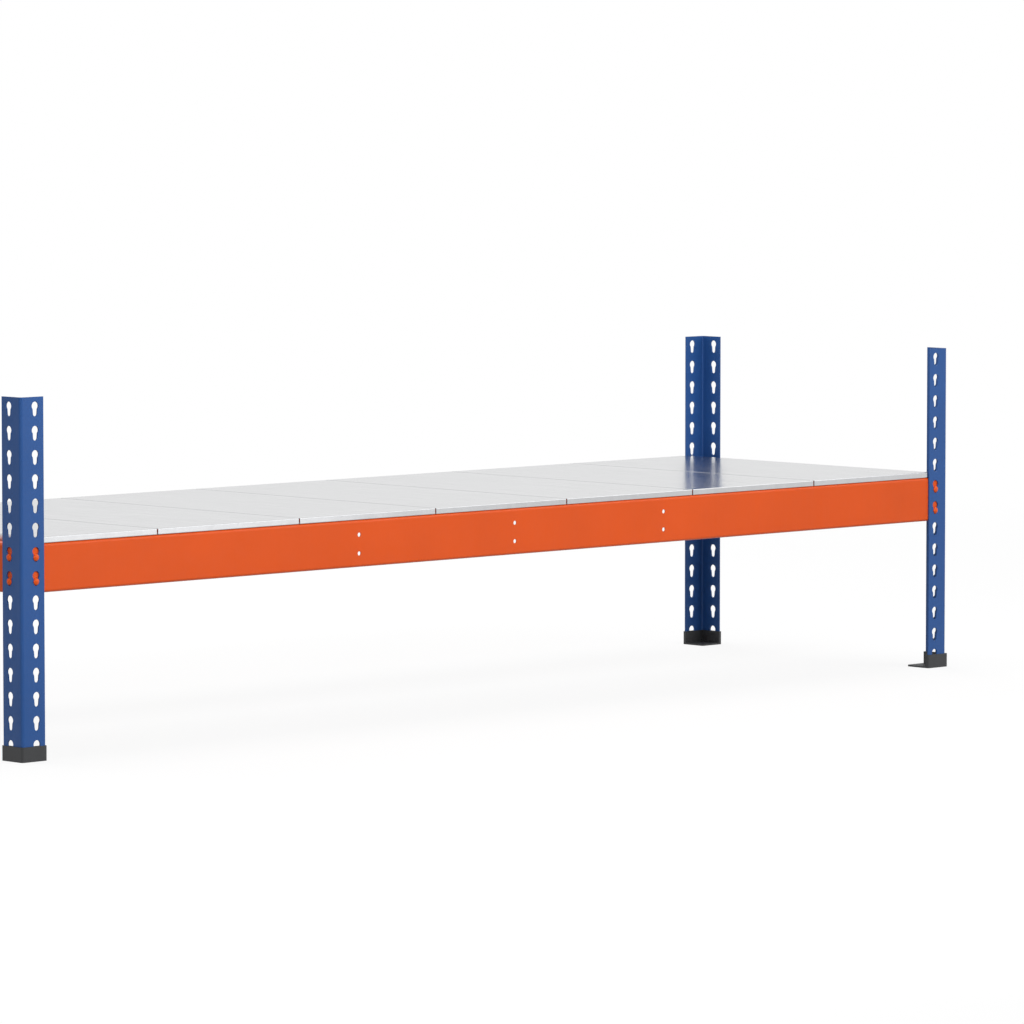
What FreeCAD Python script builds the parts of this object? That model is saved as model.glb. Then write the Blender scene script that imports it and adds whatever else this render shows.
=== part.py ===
import FreeCAD, Part
import math
import os

# One level of a boltless wide span shelf, in millimetres. X runs along the width, Y from the front
# (-Y) to the rear (+Y), Z up from the floor. The origin is on the floor, in the middle of the bay.

# Bay, over the outer faces of the posts
bay_width = 2152.2
bay_depth = 614.2

# Posts: one angle, punched with a column of keyholes in each flange
post_flange = 46.4
post_wall = 2.5
post_bend = 2.5
keyhole_pitch = 38.1
keyhole_rows = 15
keyhole_inset = 29.7
keyhole_height = 23.4
keyhole_head = 13.8
keyhole_slot = 8.8
neck_share = 0.25

# Feet: moulded sockets under the posts
foot_sole = 3.0
foot_height = 24.0
foot_wall = 2.5
foot_corner = 4.0
foot_clearance = 0.2

# Beams: a lipped channel whose web runs on at both ends as a tongue behind the post flange
beam_height = 78.1
beam_wall = 1.5
beam_bend = 3.5
beam_top_flange = 30.0
beam_top_return = 10.0
beam_bottom_flange = 22.0
beam_bottom_return = 8.0
beam_below_stud = 18.7
corner_gap = 5.0
tongue_tip = 14.0
tongue_corner = 5.0

# Pairs of open holes for tie bars in the webs of the long beams
tie_hole = 7.0
tie_hole_lower = 22.7
tie_hole_spacing = 31.0
tie_pair_pitch = 355.6
tie_pairs = 3

# Studs: headed rivets on the tongues, wedged in the tapered slots of keyholes one above the other
lower_stud_row = 7
studs_per_end = 2
stud_seat_lift = 2.4
stud_seat_gap = 0.05
stud_grip_gap = 0.1
stud_entry_clearance = 1.5
stud_head_height = 3.3
stud_head_rim = 1.0
stud_shoulder_step = 0.9
stud_tail = 10.5
stud_tail_height = 1.8
rivet_clearance = 0.05

# Deck: folded panels side by side on the long beams, with one narrower panel at the left
panel_wall = 0.9
panel_bend = 0.5
panel_pitch = 304.8
panel_gap = 2.8
panel_setback = 0.2
panel_lip = 9.9
panel_lip_return = 12.0
panel_side = 28.0
panel_side_return = 12.0
panel_notch_gap = 2.0
panel_corner_relief = 3.0
deck_end_gap = 7.3
narrow_panel_least = 100.0

# Overshoot of cutting tools past the wall that they cut
cut_margin = 1.0

# Levels and places that follow from the sizes above
post_height = keyhole_rows * keyhole_pitch
head_radius = keyhole_head / 2
slot_radius = keyhole_slot / 2
slot_drop = keyhole_height / 2 - slot_radius
neck_half = slot_radius + neck_share * (head_radius - slot_radius)
neck_level = keyhole_height / 2 - head_radius - math.sqrt(head_radius ** 2 - neck_half ** 2)
slot_taper = math.atan2(neck_half - slot_radius, neck_level + slot_drop)
slot_half = slot_radius + stud_seat_lift * math.tan(slot_taper)
shoulder_radius = slot_half * math.cos(slot_taper) - stud_seat_gap
shank_radius = shoulder_radius - stud_shoulder_step
lower_keyhole_level = foot_sole + (lower_stud_row + 0.5) * keyhole_pitch
lower_stud_level = lower_keyhole_level - slot_drop + stud_seat_lift
beam_level = lower_stud_level - beam_below_stud
deck_level = beam_level + beam_height
side_beam_reach = post_wall + beam_top_flange
flange_start = side_beam_reach + corner_gap
deck_length = bay_width - 2 * (side_beam_reach + deck_end_gap)
panel_depth = bay_depth - 2 * (post_wall + panel_setback)

Vector = FreeCAD.Vector
CENTRE = Vector(0, 0, 0)
REARWARD = Vector(0, 1, 0)
UP = Vector(0, 0, 1)


def unit(start, end):
    """Direction of length one from start to end."""
    return (end - start).normalize()


def segment(start, end):
    """Straight edge."""
    return Part.LineSegment(start, end).toShape()


def rounded_path(corners, radius):
    """Edges along a line of right-angled corners, each rounded by an arc."""
    edges = []
    run_start = corners[0]
    for before, corner, after in zip(corners, corners[1:], corners[2:]):
        back = unit(corner, before)
        ahead = unit(corner, after)
        bend_end = corner + ahead * radius
        centre = corner + (back + ahead) * radius
        middle = centre + unit(centre, corner) * radius
        edges.append(segment(run_start, corner + back * radius))
        edges.append(Part.Arc(corner + back * radius, middle, bend_end).toShape())
        run_start = bend_end
    edges.append(segment(run_start, corners[-1]))
    return edges


def folded_sheet(corners, wall, bend, run):
    """Sheet folded inwards at right angles: corners lie on its outer skin, run is its length."""
    inside = [corners[0] + unit(corners[1], corners[2]) * wall]
    for before, corner, after in zip(corners, corners[1:], corners[2:]):
        inside.append(corner + (unit(corner, before) + unit(corner, after)) * wall)
    inside.append(corners[-1] + unit(corners[-2], corners[-3]) * wall)
    edges = rounded_path(corners, bend + wall)
    edges.append(segment(corners[-1], inside[-1]))
    edges += rounded_path(inside[::-1], bend)
    edges.append(segment(inside[0], corners[0]))
    return Part.Face(Part.Wire(edges)).extrude(run)


def joined(pieces):
    """One solid from pieces that share faces."""
    return pieces[0].multiFuse(pieces[1:]).removeSplitter().Solids[0]


def turned(shape, degrees):
    """Copy of a shape, turned about the Z axis."""
    copy = shape.copy()
    copy.rotate(CENTRE, UP, degrees)
    return copy


def upright_angle(flange, wall, bend, height):
    """Angle on the foot's sole, with its outer corner on the Z axis and its flanges along +X and +Y."""
    corners = [Vector(flange, 0, foot_sole), Vector(0, 0, foot_sole), Vector(0, flange, foot_sole)]
    return folded_sheet(corners, wall, bend, UP * height)


def keyhole_cutter():
    """Keyhole through the front flange at the level of the origin: a round head over a tapered slot."""
    neck_left = Vector(-neck_half, 0, neck_level)
    neck_right = Vector(neck_half, 0, neck_level)
    slot_left = Vector(-slot_radius, 0, -slot_drop)
    slot_right = Vector(slot_radius, 0, -slot_drop)
    outline = Part.Wire([
        Part.Arc(neck_right, UP * (keyhole_height / 2), neck_left).toShape(),
        segment(neck_left, slot_left),
        Part.Arc(slot_left, UP * (-keyhole_height / 2), slot_right).toShape(),
        segment(slot_right, neck_right),
    ])
    cutter = Part.Face(outline).extrude(REARWARD * (post_wall + 2 * cut_margin))
    return cutter.translated(REARWARD * -cut_margin)


def make_post():
    """Post for the front left corner, with that corner on the Z axis."""
    post = upright_angle(post_flange, post_wall, post_bend, post_height)
    front_keyhole = keyhole_cutter()
    side_keyhole = turned(front_keyhole, -90)
    cutters = []
    for row in range(keyhole_rows):
        level = foot_sole + (row + 0.5) * keyhole_pitch
        cutters.append(front_keyhole.translated(Vector(keyhole_inset, 0, level)))
        cutters.append(side_keyhole.translated(Vector(0, keyhole_inset, level)))
    return post.cut(cutters).Solids[0]


def make_foot():
    """Foot under that post: a square sole that carries a socket round the angle."""
    rim = foot_clearance + foot_wall
    size = post_flange + 2 * rim
    block = Part.makeBox(size, size, foot_height, Vector(-rim, -rim, 0))
    uprights = [edge for edge in block.Edges if edge.Vertexes[0].Z != edge.Vertexes[1].Z]
    block = block.makeFillet(foot_corner, uprights)
    inner = post_wall + rim
    hollow = Part.makeBox(size, size, foot_height, Vector(inner, inner, foot_sole))
    socket = upright_angle(post_flange + 2 * foot_clearance, post_wall + 2 * foot_clearance,
                           post_bend - foot_clearance, foot_height)
    socket.translate(Vector(-foot_clearance, -foot_clearance, 0))
    return block.cut([hollow, socket]).Solids[0]


def stud_places(span):
    """Stud centres of a beam along the front of a bay of this span, as X and level."""
    places = []
    for side in (-1, 1):
        for stud in range(studs_per_end):
            places.append((side * (span / 2 - keyhole_inset), lower_stud_level + stud * keyhole_pitch))
    return places


def make_tongue(face, start, end):
    """End of a beam's web from where its flanges stop, with rounded corners at the tip."""
    trim = beam_wall + beam_bend
    low = beam_level + trim
    high = beam_level + beam_height - trim
    corners = [Vector(start, face, low), Vector(end, face, low),
               Vector(end, face, high), Vector(start, face, high)]
    edges = rounded_path(corners, tongue_corner)
    edges.append(segment(corners[-1], corners[0]))
    return Part.Face(Part.Wire(edges)).extrude(REARWARD * beam_wall)


def make_beam(span, depth, pairs):
    """Beam along the front of a bay of this span and depth, with pairs of tie bar holes."""
    face = post_wall - depth / 2
    body_end = span / 2 - flange_start
    tip = span / 2 - keyhole_inset + tongue_tip
    section = [(beam_top_flange, deck_level - beam_top_return), (beam_top_flange, deck_level),
               (0, deck_level), (0, beam_level),
               (beam_bottom_flange, beam_level), (beam_bottom_flange, beam_level + beam_bottom_return)]
    corners = [Vector(-body_end, face + inward, level) for inward, level in section]
    body = folded_sheet(corners, beam_wall, beam_bend, Vector(2 * body_end, 0, 0))
    beam = joined([body, make_tongue(face, -body_end, -tip), make_tongue(face, body_end, tip)])
    holes = [(shank_radius + rivet_clearance, across, level) for across, level in stud_places(span)]
    for pair in range(pairs):
        across = (pair - (pairs - 1) / 2) * tie_pair_pitch
        holes.append((tie_hole / 2, across, beam_level + tie_hole_lower))
        holes.append((tie_hole / 2, across, beam_level + tie_hole_lower + tie_hole_spacing))
    drill_length = beam_wall + 2 * cut_margin
    drills = [Part.makeCylinder(radius, drill_length, Vector(across, face - cut_margin, level), REARWARD)
              for radius, across, level in holes]
    return beam.cut(drills).Solids[0]


def make_stud():
    """Headed rivet whose axis runs along Y, with the outer face of the beam's web on the XZ plane."""
    rim_radius = head_radius - stud_entry_clearance
    tail_radius = stud_tail / 2
    grip = post_wall + stud_grip_gap
    rim = grip + stud_head_rim
    crown = grip + stud_head_height
    tail_end = -beam_wall - stud_tail_height
    turning = [(0, tail_end), (tail_radius, tail_end), (tail_radius, -beam_wall), (shank_radius, -beam_wall),
               (shank_radius, 0), (shoulder_radius, 0), (shoulder_radius, grip), (rim_radius, grip),
               (rim_radius, rim)]
    points = [Vector(radius, -out, 0) for radius, out in turning]
    dome_height = crown - rim
    dome_radius = (rim_radius ** 2 + dome_height ** 2) / (2 * dome_height)
    half_angle = math.asin(rim_radius / dome_radius) / 2
    dome_middle = Vector(dome_radius * math.sin(half_angle),
                         dome_radius * (1 - math.cos(half_angle)) - crown, 0)
    edges = [segment(start, end) for start, end in zip(points, points[1:])]
    edges.append(Part.Arc(points[-1], dome_middle, REARWARD * -crown).toShape())
    edges.append(segment(REARWARD * -crown, points[0]))
    return Part.Face(Part.Wire(edges)).revolve(CENTRE, REARWARD, 360)


def make_studs(span, depth):
    """The studs of a beam along the front of a bay of this span and depth."""
    stud = make_stud()
    face = post_wall - depth / 2
    places = [Vector(across, face, level) for across, level in stud_places(span)]
    return Part.makeCompound([stud.translated(place) for place in places])


def make_lip(left, right, front, back):
    """Front edge of a deck panel: a lip with a return below, cut clear of the side folds."""
    top = deck_level + panel_lip
    corners = [Vector(left, front + panel_lip_return, deck_level), Vector(left, front, deck_level),
               Vector(left, front, top), Vector(left, back, top)]
    lip = folded_sheet(corners, panel_wall, panel_bend, Vector(right - left, 0, 0))
    fold = panel_wall + panel_bend
    relief = fold + panel_corner_relief
    reliefs = [Part.makeBox(relief, panel_lip_return, fold, Vector(x, front + fold, deck_level))
               for x in (left, right - relief)]
    return lip.cut(reliefs)


def make_panel(left, right):
    """Deck panel between two X places: lips rest on the long beams, deep side folds hang between them."""
    front = -panel_depth / 2
    top = deck_level + panel_lip
    low = top - panel_side
    folds_start = front + panel_wall + panel_bend + panel_corner_relief
    notch = front + beam_top_flange + panel_notch_gap
    lip = make_lip(left, right, front, folds_start)
    shallow = [Vector(left, folds_start, deck_level), Vector(left, folds_start, top),
               Vector(right, folds_start, top), Vector(right, folds_start, deck_level)]
    over_beam = folded_sheet(shallow, panel_wall, panel_bend, REARWARD * (notch - folds_start))
    deep = [Vector(left + panel_side_return, notch, low), Vector(left, notch, low),
            Vector(left, notch, top), Vector(right, notch, top),
            Vector(right, notch, low), Vector(right - panel_side_return, notch, low)]
    between_beams = folded_sheet(deep, panel_wall, panel_bend, REARWARD * (-2 * notch))
    ends = [lip, over_beam]
    return joined([between_beams] + ends + [end.mirror(CENTRE, REARWARD) for end in ends])


def make_deck():
    """Deck panels from left to right, the narrow one first."""
    full_panels = int((deck_length - narrow_panel_least) // panel_pitch)
    joints = [deck_length / 2 - panel_pitch * count for count in range(full_panels, -1, -1)]
    edges = [-deck_length / 2] + joints
    return [make_panel(left + panel_gap / 2, right - panel_gap / 2) for left, right in zip(edges, edges[1:])]


def make_parts():
    """Every piece by its name, in its place."""
    parts = {}
    post = make_post()
    foot = make_foot()
    corners = (("front_left", -1, -1), ("front_right", 1, -1), ("rear_right", 1, 1), ("rear_left", -1, 1))
    for quarter, (corner, side, end) in enumerate(corners):
        place = Vector(side * bay_width / 2, end * bay_depth / 2, 0)
        parts[corner + "_post"] = turned(post, 90 * quarter).translated(place)
        parts[corner + "_foot"] = turned(foot, 90 * quarter).translated(place)
    long_beam = make_beam(bay_width, bay_depth, tie_pairs)
    long_studs = make_studs(bay_width, bay_depth)
    side_beam = make_beam(bay_depth, bay_width, 0)
    side_studs = make_studs(bay_depth, bay_width)
    beams = (("front_beam", long_beam, long_studs, 0), ("rear_beam", long_beam, long_studs, 180),
             ("left_side_beam", side_beam, side_studs, -90), ("right_side_beam", side_beam, side_studs, 90))
    for name, beam, studs, degrees in beams:
        parts[name] = turned(beam, degrees)
        parts[name + "_studs"] = turned(studs, degrees)
    for number, panel in enumerate(make_deck(), start=1):
        parts["deck_panel_" + str(number)] = panel
    return parts


os.makedirs("parts", exist_ok=True)
for name, shape in make_parts().items():
    shape.exportStep("parts/" + name + ".step")
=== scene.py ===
import math

import bpy
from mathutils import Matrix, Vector

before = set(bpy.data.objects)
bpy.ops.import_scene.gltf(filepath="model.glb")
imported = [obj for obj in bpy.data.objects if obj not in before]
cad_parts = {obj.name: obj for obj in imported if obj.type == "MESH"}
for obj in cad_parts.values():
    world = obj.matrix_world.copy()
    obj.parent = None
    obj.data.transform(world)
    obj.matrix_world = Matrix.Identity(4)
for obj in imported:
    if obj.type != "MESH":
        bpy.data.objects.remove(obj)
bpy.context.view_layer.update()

# Camera, fitted to the keyholes, panel joints and beam edges in the photograph
camera_place = Vector((-7.418, -8.0016, 1.1675))
camera_turn_deg = 43.9153
camera_dip_deg = 4.4422
sensor_width_mm = 36.0
photo_width_px = 1024
focal_length_px = 6371.5

# Paint, metal and plastic colours (linear)
blue = (0.020, 0.082, 0.270)
orange = (0.700, 0.082, 0.004)
zinc = (0.530, 0.535, 0.545)
black = (0.025, 0.026, 0.028)
white = (1.0, 1.0, 1.0)

# Range that most values of a noise texture lie in
noise_low = 0.3
noise_high = 0.7

# Waves to a metre along X, Y and Z: upright ripples in the paint, rolling lines along the panels
paint_ripples = (45.0, 45.0, 2.0)
rolling_lines = (700.0, 6.0, 700.0)

# Strength of the surround as the camera and mirrors see it, and as light on the object
background_level = 1.0
world_level = 0.28

# Floor: its paint as seen and as light on the object, and its glow, which grows away from the object
floor_half_width = 60.0
floor_colour = 0.95
floor_bounce = 0.24
floor_glow_near = 0.86
floor_glow_far = 1.0
floor_glow_start = 1.8
floor_glow_end = 5.0


def connect(tree, node, name, value):
    """Sets one socket of a node to a value, or links another node's socket to it."""
    socket = node.inputs[name]
    if isinstance(value, bpy.types.NodeSocket):
        tree.links.new(value, socket)
    else:
        socket.default_value = value


def add_node(tree, kind, sockets=None, **settings):
    """A new node, with its sockets set to values or linked to other nodes' sockets."""
    node = tree.nodes.new(kind)
    for name, value in settings.items():
        setattr(node, name, value)
    for name, value in (sockets or {}).items():
        connect(tree, node, name, value)
    return node


def new_material(name):
    """A node material, with its Principled shader and the row-frame coordinates in metres."""
    material = bpy.data.materials.new(name)
    material.use_nodes = True
    tree = material.node_tree
    shader = tree.nodes["Principled BSDF"]
    place = add_node(tree, "ShaderNodeTexCoord").outputs["Object"]
    return material, tree, shader, place


def stretched(tree, place, scale):
    """Coordinates scaled by different amounts along X, Y and Z."""
    return add_node(tree, "ShaderNodeMapping", {"Vector": place, "Scale": scale}).outputs["Vector"]


def noise(tree, place, waves=1.0, detail=2.0):
    """Noise with about so many waves to a unit of the coordinates."""
    sockets = {"Vector": place, "Scale": waves, "Detail": detail}
    return add_node(tree, "ShaderNodeTexNoise", sockets).outputs["Fac"]


def ranged(tree, value, low, high, start=0.0, end=1.0, **settings):
    """A value brought from between start and end to between low and high, and kept there."""
    sockets = {"Value": value, "From Min": start, "From Max": end, "To Min": low, "To Max": high}
    return add_node(tree, "ShaderNodeMapRange", sockets, **settings).outputs["Result"]


def spread(tree, value, low, high):
    """Noise brought from its usual range to a range of its own."""
    return ranged(tree, value, low, high, noise_low, noise_high)


def shades(tree, value, colour, darkest, lightest):
    """A colour that goes from one share of its brightness to another with a value."""
    ramp = add_node(tree, "ShaderNodeValToRGB", {"Fac": value})
    for stop, level in zip(ramp.color_ramp.elements, (darkest, lightest)):
        stop.color = (*[part * level for part in colour], 1.0)
    return ramp.outputs["Color"]


def bump(tree, height, depth, under=None):
    """A bump of so many metres, over another bump if there is one."""
    sockets = {"Height": height, "Distance": depth}
    if under is not None:
        sockets["Normal"] = under
    return add_node(tree, "ShaderNodeBump", sockets).outputs["Normal"]


def powder_coat(name, colour):
    """Satin powder coat: faint clouds of tone, shallow ripples, orange peel and slightly uneven gloss."""
    material, tree, shader, place = new_material(name)
    clouds = noise(tree, place, waves=9.0)
    gloss = noise(tree, place, waves=60.0, detail=3.0)
    peel = noise(tree, place, waves=420.0, detail=1.0)
    ripples = noise(tree, stretched(tree, place, paint_ripples))
    rippled = bump(tree, ripples, depth=0.0008)
    connect(tree, shader, "Base Color", shades(tree, clouds, colour, darkest=0.92, lightest=1.08))
    connect(tree, shader, "Roughness", spread(tree, gloss, low=0.34, high=0.44))
    connect(tree, shader, "Normal", bump(tree, peel, depth=0.0001, under=rippled))
    connect(tree, shader, "Specular IOR Level", 0.30)
    return material


def zinc_sheet():
    """Bright zinc-plated sheet: faint spangle, rolling lines and a slight waviness."""
    material, tree, shader, place = new_material("zinc_plating")
    cells = add_node(tree, "ShaderNodeTexVoronoi", {"Vector": place, "Scale": 75.0}).outputs["Color"]
    spangle = add_node(tree, "ShaderNodeSeparateColor", {"Color": cells}).outputs["Red"]
    lines = noise(tree, stretched(tree, place, rolling_lines))
    swells = noise(tree, place, waves=5.0)
    connect(tree, shader, "Base Color", shades(tree, spangle, zinc, darkest=0.97, lightest=1.02))
    connect(tree, shader, "Metallic", 1.0)
    connect(tree, shader, "Roughness", spread(tree, lines, low=0.17, high=0.25))
    connect(tree, shader, "Normal", bump(tree, swells, depth=0.0015))
    return material


def foot_plastic():
    """Black moulded plastic with a fine spark-eroded grain."""
    material, tree, shader, place = new_material("moulded_plastic")
    clouds = noise(tree, place, waves=40.0)
    grain = noise(tree, place, waves=900.0, detail=3.0)
    connect(tree, shader, "Base Color", shades(tree, clouds, black, darkest=0.85, lightest=1.2))
    connect(tree, shader, "Roughness", spread(tree, grain, low=0.48, high=0.62))
    connect(tree, shader, "Normal", bump(tree, grain, depth=0.0002))
    return material


def paint_nodes():
    """Gives each CAD node the finish of the material slot that it was packed with."""
    finishes = {
        "blue_paint": powder_coat("blue_powder_coat", blue),
        "orange_paint": powder_coat("orange_powder_coat", orange),
        "zinc_sheet": zinc_sheet(),
        "foot_plastic": foot_plastic(),
    }
    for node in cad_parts.values():
        for slot in node.material_slots:
            slot.material = finishes[slot.material.name.split(".")[0]]


def seen_directly(tree):
    """1 for rays from the camera, from a mirror or through glass, and 0 for light on the object."""
    path = add_node(tree, "ShaderNodeLightPath").outputs
    mirror = add_node(tree, "ShaderNodeMath", operation="MAXIMUM")
    seen = add_node(tree, "ShaderNodeMath", operation="MAXIMUM")
    connect(tree, mirror, 0, path["Is Glossy Ray"])
    connect(tree, mirror, 1, path["Is Transmission Ray"])
    connect(tree, seen, 0, path["Is Camera Ray"])
    connect(tree, seen, 1, mirror.outputs["Value"])
    return seen.outputs["Value"]


def make_world():
    """A white surround that lights the object from all round."""
    world = bpy.data.worlds.new("surround")
    world.use_nodes = True
    tree = world.node_tree
    background = tree.nodes["Background"]
    connect(tree, background, "Color", (*white, 1.0))
    connect(tree, background, "Strength", ranged(tree, seen_directly(tree), world_level, background_level))
    bpy.context.scene.world = world


def floor_paint():
    """Pale paint that keeps the object's shadow and fades into the white surround away from it."""
    material, tree, shader, place = new_material("floor_paint")
    tree.nodes.remove(shader)
    seen = seen_directly(tree)
    away = add_node(tree, "ShaderNodeVectorMath", {"Vector": place}, operation="LENGTH").outputs["Value"]
    fade = ranged(tree, away, floor_glow_near, floor_glow_far, floor_glow_start, floor_glow_end,
                  interpolation_type="SMOOTHSTEP")
    tone = ranged(tree, seen, floor_bounce, floor_colour)
    matt = add_node(tree, "ShaderNodeBsdfDiffuse", {"Color": tone})
    glow = add_node(tree, "ShaderNodeEmission", {"Color": (*white, 1.0), "Strength": background_level})
    both = add_node(tree, "ShaderNodeMixShader", {"Fac": ranged(tree, seen, 0.0, fade)})
    connect(tree, both, 1, matt.outputs["BSDF"])
    connect(tree, both, 2, glow.outputs["Emission"])
    connect(tree, tree.nodes["Material Output"], "Surface", both.outputs["Shader"])
    return material


def make_floor():
    """A wide floor under the feet."""
    mesh = bpy.data.meshes.new("floor")
    corners = [(-floor_half_width, -floor_half_width, 0.0), (floor_half_width, -floor_half_width, 0.0),
               (floor_half_width, floor_half_width, 0.0), (-floor_half_width, floor_half_width, 0.0)]
    mesh.from_pydata(corners, [], [(0, 1, 2, 3)])
    mesh.materials.append(floor_paint())
    floor = bpy.data.objects.new("floor", mesh)
    bpy.context.scene.collection.objects.link(floor)


def soft_box(name, place, aim, width, height, watts):
    """A large lamp at a place, turned to a point, which metal and gloss don't mirror."""
    lamp = bpy.data.lights.new(name, "AREA")
    lamp.shape = "RECTANGLE"
    lamp.size = width
    lamp.size_y = height
    lamp.energy = watts
    box = bpy.data.objects.new(name, lamp)
    box.location = place
    box.rotation_euler = (Vector(aim) - Vector(place)).to_track_quat("-Z", "Y").to_euler()
    box.visible_camera = False
    box.visible_glossy = False
    bpy.context.scene.collection.objects.link(box)
    return box


def mirrored_card(name, place, aim, width, height, brightness):
    """A card that shows in metal and gloss only, where a brightness of 1 is white."""
    card = soft_box(name, place, aim, width, height, watts=brightness * math.pi * width * height)
    card.visible_glossy = True
    card.visible_diffuse = False


def make_lights():
    """Soft boxes in front, above, behind and low at the side, and cards for the panels' lips and bends."""
    soft_box("front_box", place=(-0.2, -2.8, 1.7), aim=(-0.2, -0.3, 0.4), width=7.0, height=1.2, watts=118.0)
    soft_box("top_box", place=(0.0, 0.6, 4.0), aim=(0.0, 0.0, 0.3), width=4.0, height=2.5, watts=60.0)
    soft_box("rear_box", place=(0.3, 3.4, 2.4), aim=(0.0, 0.3, 0.3), width=6.0, height=1.2, watts=110.0)
    soft_box("side_fill", place=(-8.0, -2.5, 0.3), aim=(0.5, 0.2, 0.15), width=3.0, height=0.5, watts=55.0)
    mirrored_card("left_card", place=(1.24, -3.0, 0.5), aim=(1.24, 0.0, 0.5), width=1.7, height=1.0,
                  brightness=0.95)
    mirrored_card("right_card", place=(4.0, -3.0, 0.5), aim=(4.0, 0.0, 0.5), width=1.2, height=1.0,
                  brightness=0.20)
    mirrored_card("bend_card", place=(2.6, -2.4, 2.8), aim=(0.0, -0.3, 0.35), width=5.0, height=2.0,
                  brightness=1.6)


def make_camera():
    """The photograph's camera, with no roll and no shift."""
    lens = bpy.data.cameras.new("camera")
    lens.sensor_width = sensor_width_mm
    lens.lens = sensor_width_mm * focal_length_px / photo_width_px
    camera = bpy.data.objects.new("camera", lens)
    camera.location = camera_place
    camera.rotation_euler = (math.radians(90.0 - camera_dip_deg), 0.0, math.radians(-camera_turn_deg))
    bpy.context.scene.collection.objects.link(camera)
    bpy.context.scene.camera = camera


paint_nodes()
make_world()
make_floor()
make_lights()
make_camera()
bpy.context.scene.view_settings.view_transform = "Standard"
